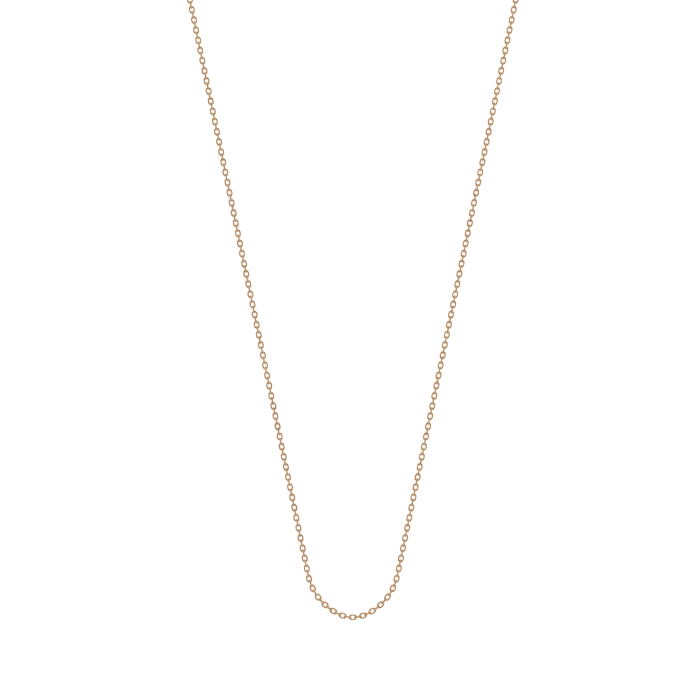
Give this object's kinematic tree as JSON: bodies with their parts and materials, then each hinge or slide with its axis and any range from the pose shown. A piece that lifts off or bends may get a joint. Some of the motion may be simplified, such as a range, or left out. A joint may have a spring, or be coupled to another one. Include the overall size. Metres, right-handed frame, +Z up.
{
  "type": "chain necklace",
  "caption": "Fine oval-link cable-chain necklace laid out in a V, with hinged chain runs, jump rings, a closed catch ring and a sprung lobster clasp",
  "frame": {"origin": "the middle of the underside of the box around the whole necklace, on the plane that it lies on", "axes": "+Z up out of the plane; +Y from the V's rounded tip towards the open ends; +X to the right-hand strand, which carries the clasp"},
  "size_m": [0.1122, 0.2232, 0.0026],
  "materials": {
    "rose_gold": "polished rose-gold plating",
    "spring_steel": "plain spring steel"
  },
  "bodies": {
    "chain_middle": {"chain_middle": "rose_gold"},
    "chain_right_01": {"chain_right_01": "rose_gold"},
    "chain_right_02": {"chain_right_02": "rose_gold"},
    "chain_right_03": {"chain_right_03": "rose_gold"},
    "chain_right_04": {"chain_right_04": "rose_gold"},
    "chain_right_05": {"chain_right_05": "rose_gold"},
    "chain_right_06": {"chain_right_06": "rose_gold"},
    "chain_right_07": {"chain_right_07": "rose_gold"},
    "chain_right_08": {"chain_right_08": "rose_gold"},
    "chain_right_09": {"chain_right_09": "rose_gold"},
    "chain_right_10": {"chain_right_10": "rose_gold"},
    "chain_right_11": {"chain_right_11": "rose_gold"},
    "chain_right_12": {"chain_right_12": "rose_gold"},
    "chain_right_13": {"chain_right_13": "rose_gold"},
    "chain_right_14": {"chain_right_14": "rose_gold"},
    "chain_right_15": {"chain_right_15": "rose_gold"},
    "chain_right_16": {"chain_right_16": "rose_gold"},
    "chain_right_17": {"chain_right_17": "rose_gold"},
    "chain_right_18": {"chain_right_18": "rose_gold"},
    "chain_right_19": {"chain_right_19": "rose_gold"},
    "chain_right_20": {"chain_right_20": "rose_gold"},
    "chain_right_21": {"chain_right_21": "rose_gold"},
    "chain_right_22": {"chain_right_22": "rose_gold"},
    "chain_right_23": {"chain_right_23": "rose_gold"},
    "chain_right_24": {"chain_right_24": "rose_gold"},
    "chain_left_01": {"chain_left_01": "rose_gold"},
    "chain_left_02": {"chain_left_02": "rose_gold"},
    "chain_left_03": {"chain_left_03": "rose_gold"},
    "chain_left_04": {"chain_left_04": "rose_gold"},
    "chain_left_05": {"chain_left_05": "rose_gold"},
    "chain_left_06": {"chain_left_06": "rose_gold"},
    "chain_left_07": {"chain_left_07": "rose_gold"},
    "chain_left_08": {"chain_left_08": "rose_gold"},
    "chain_left_09": {"chain_left_09": "rose_gold"},
    "chain_left_10": {"chain_left_10": "rose_gold"},
    "chain_left_11": {"chain_left_11": "rose_gold"},
    "chain_left_12": {"chain_left_12": "rose_gold"},
    "chain_left_13": {"chain_left_13": "rose_gold"},
    "chain_left_14": {"chain_left_14": "rose_gold"},
    "chain_left_15": {"chain_left_15": "rose_gold"},
    "chain_left_16": {"chain_left_16": "rose_gold"},
    "chain_left_17": {"chain_left_17": "rose_gold"},
    "chain_left_18": {"chain_left_18": "rose_gold"},
    "chain_left_19": {"chain_left_19": "rose_gold"},
    "chain_left_20": {"chain_left_20": "rose_gold"},
    "chain_left_21": {"chain_left_21": "rose_gold"},
    "chain_left_22": {"chain_left_22": "rose_gold"},
    "chain_left_23": {"chain_left_23": "rose_gold"},
    "chain_left_24": {"chain_left_24": "rose_gold"},
    "jump_ring_right": {"jump_ring_right": "rose_gold"},
    "clasp": {"clasp_body": "rose_gold", "clasp_pin": "rose_gold", "clasp_spring": "spring_steel"},
    "clasp_lever": {"clasp_lever": "rose_gold"},
    "jump_ring_left": {"jump_ring_left": "rose_gold"},
    "catch_ring": {"catch_ring": "rose_gold"}
  },
  "joints": [
    {"name": "right_01_sideways", "type": "hinge", "parent": "chain_middle", "child": "chain_right_01", "pos_m": [0.00393, -0.10995, 0.00078], "axis": [0, 0, -1], "range_deg": [-25, 90]},
    {"name": "right_02_up_down", "type": "hinge", "parent": "chain_right_01", "child": "chain_right_02", "pos_m": [0.00979, -0.10329, 0.00078], "axis": [0.9167, -0.3996, 0], "range_deg": [-90, 90]},
    {"name": "right_03_sideways", "type": "hinge", "parent": "chain_right_02", "child": "chain_right_03", "pos_m": [0.01185, -0.09451, 0.00078], "axis": [0, 0, 1], "range_deg": [-90, 25]},
    {"name": "right_04_up_down", "type": "hinge", "parent": "chain_right_03", "child": "chain_right_04", "pos_m": [0.01367, -0.08566, 0.00078], "axis": [-0.9795, 0.2014, 0], "range_deg": [-90, 90]},
    {"name": "right_05_sideways", "type": "hinge", "parent": "chain_right_04", "child": "chain_right_05", "pos_m": [0.01549, -0.07682, 0.00078], "axis": [0, 0, -1], "range_deg": [-30, 90]},
    {"name": "right_06_up_down", "type": "hinge", "parent": "chain_right_05", "child": "chain_right_06", "pos_m": [0.01731, -0.06797, 0.00078], "axis": [0.9795, -0.2014, 0], "range_deg": [-90, 90]},
    {"name": "right_07_sideways", "type": "hinge", "parent": "chain_right_06", "child": "chain_right_07", "pos_m": [0.01913, -0.05913, 0.00078], "axis": [0, 0, 1], "range_deg": [-90, 35]},
    {"name": "right_08_up_down", "type": "hinge", "parent": "chain_right_07", "child": "chain_right_08", "pos_m": [0.02095, -0.05028, 0.00078], "axis": [-0.9795, 0.2014, 0], "range_deg": [-90, 90]},
    {"name": "right_09_sideways", "type": "hinge", "parent": "chain_right_08", "child": "chain_right_09", "pos_m": [0.02277, -0.04144, 0.00078], "axis": [0, 0, -1], "range_deg": [-35, 90]},
    {"name": "right_10_up_down", "type": "hinge", "parent": "chain_right_09", "child": "chain_right_10", "pos_m": [0.02459, -0.03259, 0.00078], "axis": [0.9795, -0.2014, 0], "range_deg": [-90, 90]},
    {"name": "right_11_sideways", "type": "hinge", "parent": "chain_right_10", "child": "chain_right_11", "pos_m": [0.02641, -0.02375, 0.00078], "axis": [0, 0, 1], "range_deg": [-90, 40]},
    {"name": "right_12_up_down", "type": "hinge", "parent": "chain_right_11", "child": "chain_right_12", "pos_m": [0.02822, -0.0149, 0.00078], "axis": [-0.9795, 0.2014, 0], "range_deg": [-90, 90]},
    {"name": "right_13_sideways", "type": "hinge", "parent": "chain_right_12", "child": "chain_right_13", "pos_m": [0.03004, -0.00606, 0.00078], "axis": [0, 0, -1], "range_deg": [-50, 90]},
    {"name": "right_14_up_down", "type": "hinge", "parent": "chain_right_13", "child": "chain_right_14", "pos_m": [0.03186, 0.00279, 0.00078], "axis": [0.9795, -0.2014, 0], "range_deg": [-90, 90]},
    {"name": "right_15_sideways", "type": "hinge", "parent": "chain_right_14", "child": "chain_right_15", "pos_m": [0.03368, 0.01163, 0.00078], "axis": [0, 0, 1], "range_deg": [-90, 60]},
    {"name": "right_16_up_down", "type": "hinge", "parent": "chain_right_15", "child": "chain_right_16", "pos_m": [0.0355, 0.02048, 0.00078], "axis": [-0.9795, 0.2014, 0], "range_deg": [-90, 90]},
    {"name": "right_17_sideways", "type": "hinge", "parent": "chain_right_16", "child": "chain_right_17", "pos_m": [0.03732, 0.02932, 0.00078], "axis": [0, 0, -1], "range_deg": [-80, 90]},
    {"name": "right_18_up_down", "type": "hinge", "parent": "chain_right_17", "child": "chain_right_18", "pos_m": [0.03914, 0.03816, 0.00078], "axis": [0.9795, -0.2014, 0], "range_deg": [-90, 90]},
    {"name": "right_19_sideways", "type": "hinge", "parent": "chain_right_18", "child": "chain_right_19", "pos_m": [0.04096, 0.04701, 0.00078], "axis": [0, 0, 1], "range_deg": [-90, 90]},
    {"name": "right_20_up_down", "type": "hinge", "parent": "chain_right_19", "child": "chain_right_20", "pos_m": [0.04277, 0.05585, 0.00078], "axis": [-0.9795, 0.2014, 0], "range_deg": [-90, 90]},
    {"name": "right_21_sideways", "type": "hinge", "parent": "chain_right_20", "child": "chain_right_21", "pos_m": [0.04459, 0.0647, 0.00078], "axis": [0, 0, -1], "range_deg": [-90, 90]},
    {"name": "right_22_up_down", "type": "hinge", "parent": "chain_right_21", "child": "chain_right_22", "pos_m": [0.04641, 0.07354, 0.00078], "axis": [0.9795, -0.2014, 0], "range_deg": [-90, 90]},
    {"name": "right_23_sideways", "type": "hinge", "parent": "chain_right_22", "child": "chain_right_23", "pos_m": [0.04823, 0.08239, 0.00078], "axis": [0, 0, 1], "range_deg": [-90, 90]},
    {"name": "right_24_up_down", "type": "hinge", "parent": "chain_right_23", "child": "chain_right_24", "pos_m": [0.05005, 0.09123, 0.00078], "axis": [-0.9795, 0.2014, 0], "range_deg": [-90, 90]},
    {"name": "left_01_sideways", "type": "hinge", "parent": "chain_middle", "child": "chain_left_01", "pos_m": [-0.00502, -0.10995, 0.00078], "axis": [0, 0, 1], "range_deg": [-25, 90]},
    {"name": "left_02_up_down", "type": "hinge", "parent": "chain_left_01", "child": "chain_left_02", "pos_m": [-0.01088, -0.10329, 0.00078], "axis": [0.9167, 0.3996, 0], "range_deg": [-90, 90]},
    {"name": "left_03_sideways", "type": "hinge", "parent": "chain_left_02", "child": "chain_left_03", "pos_m": [-0.01294, -0.09451, 0.00078], "axis": [0, 0, -1], "range_deg": [-90, 25]},
    {"name": "left_04_up_down", "type": "hinge", "parent": "chain_left_03", "child": "chain_left_04", "pos_m": [-0.01476, -0.08566, 0.00078], "axis": [-0.9795, -0.2014, 0], "range_deg": [-90, 90]},
    {"name": "left_05_sideways", "type": "hinge", "parent": "chain_left_04", "child": "chain_left_05", "pos_m": [-0.01658, -0.07682, 0.00078], "axis": [0, 0, 1], "range_deg": [-30, 90]},
    {"name": "left_06_up_down", "type": "hinge", "parent": "chain_left_05", "child": "chain_left_06", "pos_m": [-0.0184, -0.06797, 0.00078], "axis": [0.9795, 0.2014, 0], "range_deg": [-90, 90]},
    {"name": "left_07_sideways", "type": "hinge", "parent": "chain_left_06", "child": "chain_left_07", "pos_m": [-0.02022, -0.05913, 0.00078], "axis": [0, 0, -1], "range_deg": [-90, 35]},
    {"name": "left_08_up_down", "type": "hinge", "parent": "chain_left_07", "child": "chain_left_08", "pos_m": [-0.02204, -0.05028, 0.00078], "axis": [-0.9795, -0.2014, 0], "range_deg": [-90, 90]},
    {"name": "left_09_sideways", "type": "hinge", "parent": "chain_left_08", "child": "chain_left_09", "pos_m": [-0.02386, -0.04144, 0.00078], "axis": [0, 0, 1], "range_deg": [-35, 90]},
    {"name": "left_10_up_down", "type": "hinge", "parent": "chain_left_09", "child": "chain_left_10", "pos_m": [-0.02568, -0.03259, 0.00078], "axis": [0.9795, 0.2014, 0], "range_deg": [-90, 90]},
    {"name": "left_11_sideways", "type": "hinge", "parent": "chain_left_10", "child": "chain_left_11", "pos_m": [-0.02749, -0.02375, 0.00078], "axis": [0, 0, -1], "range_deg": [-90, 40]},
    {"name": "left_12_up_down", "type": "hinge", "parent": "chain_left_11", "child": "chain_left_12", "pos_m": [-0.02931, -0.0149, 0.00078], "axis": [-0.9795, -0.2014, 0], "range_deg": [-90, 90]},
    {"name": "left_13_sideways", "type": "hinge", "parent": "chain_left_12", "child": "chain_left_13", "pos_m": [-0.03113, -0.00606, 0.00078], "axis": [0, 0, 1], "range_deg": [-50, 90]},
    {"name": "left_14_up_down", "type": "hinge", "parent": "chain_left_13", "child": "chain_left_14", "pos_m": [-0.03295, 0.00279, 0.00078], "axis": [0.9795, 0.2014, 0], "range_deg": [-90, 90]},
    {"name": "left_15_sideways", "type": "hinge", "parent": "chain_left_14", "child": "chain_left_15", "pos_m": [-0.03477, 0.01163, 0.00078], "axis": [0, 0, -1], "range_deg": [-90, 60]},
    {"name": "left_16_up_down", "type": "hinge", "parent": "chain_left_15", "child": "chain_left_16", "pos_m": [-0.03659, 0.02048, 0.00078], "axis": [-0.9795, -0.2014, 0], "range_deg": [-90, 90]},
    {"name": "left_17_sideways", "type": "hinge", "parent": "chain_left_16", "child": "chain_left_17", "pos_m": [-0.03841, 0.02932, 0.00078], "axis": [0, 0, 1], "range_deg": [-80, 90]},
    {"name": "left_18_up_down", "type": "hinge", "parent": "chain_left_17", "child": "chain_left_18", "pos_m": [-0.04023, 0.03816, 0.00078], "axis": [0.9795, 0.2014, 0], "range_deg": [-90, 90]},
    {"name": "left_19_sideways", "type": "hinge", "parent": "chain_left_18", "child": "chain_left_19", "pos_m": [-0.04205, 0.04701, 0.00078], "axis": [0, 0, -1], "range_deg": [-90, 90]},
    {"name": "left_20_up_down", "type": "hinge", "parent": "chain_left_19", "child": "chain_left_20", "pos_m": [-0.04386, 0.05585, 0.00078], "axis": [-0.9795, -0.2014, 0], "range_deg": [-90, 90]},
    {"name": "left_21_sideways", "type": "hinge", "parent": "chain_left_20", "child": "chain_left_21", "pos_m": [-0.04568, 0.0647, 0.00078], "axis": [0, 0, 1], "range_deg": [-90, 90]},
    {"name": "left_22_up_down", "type": "hinge", "parent": "chain_left_21", "child": "chain_left_22", "pos_m": [-0.0475, 0.07354, 0.00078], "axis": [0.9795, 0.2014, 0], "range_deg": [-90, 90]},
    {"name": "left_23_sideways", "type": "hinge", "parent": "chain_left_22", "child": "chain_left_23", "pos_m": [-0.04932, 0.08239, 0.00078], "axis": [0, 0, -1], "range_deg": [-90, 90]},
    {"name": "left_24_up_down", "type": "hinge", "parent": "chain_left_23", "child": "chain_left_24", "pos_m": [-0.05114, 0.09123, 0.00078], "axis": [-0.9795, -0.2014, 0], "range_deg": [-90, 90]},
    {"name": "jump_ring_right_swing", "type": "hinge", "parent": "chain_right_24", "child": "jump_ring_right", "pos_m": [0.05213, 0.10134, 0.00078], "axis": [0.9795, -0.2014, 0], "range_deg": [-60, 15]},
    {"name": "clasp_swing", "type": "hinge", "parent": "jump_ring_right", "child": "clasp", "pos_m": [0.0524, 0.10267, 0.001], "axis": [0, 0, 1], "range_deg": [-60, 60]},
    {"name": "clasp_lever_open", "type": "hinge", "parent": "clasp", "child": "clasp_lever", "pos_m": [0.05249, 0.10483, 0.001], "axis": [0, 0, -1], "range_deg": [0, 25], "stiffness_Nm_per_rad": 0.0006, "springref_deg": -20.05, "deforming": ["clasp_spring"]},
    {"name": "jump_ring_left_swing", "type": "hinge", "parent": "chain_left_24", "child": "jump_ring_left", "pos_m": [-0.05322, 0.10134, 0.00078], "axis": [0.9795, 0.2014, 0], "range_deg": [-60, 15]},
    {"name": "catch_ring_swing", "type": "hinge", "parent": "jump_ring_left", "child": "catch_ring", "pos_m": [-0.05338, 0.10211, 0.0013], "axis": [0.9795, 0.2014, 0], "range_deg": [-60, 60]}
  ]
}
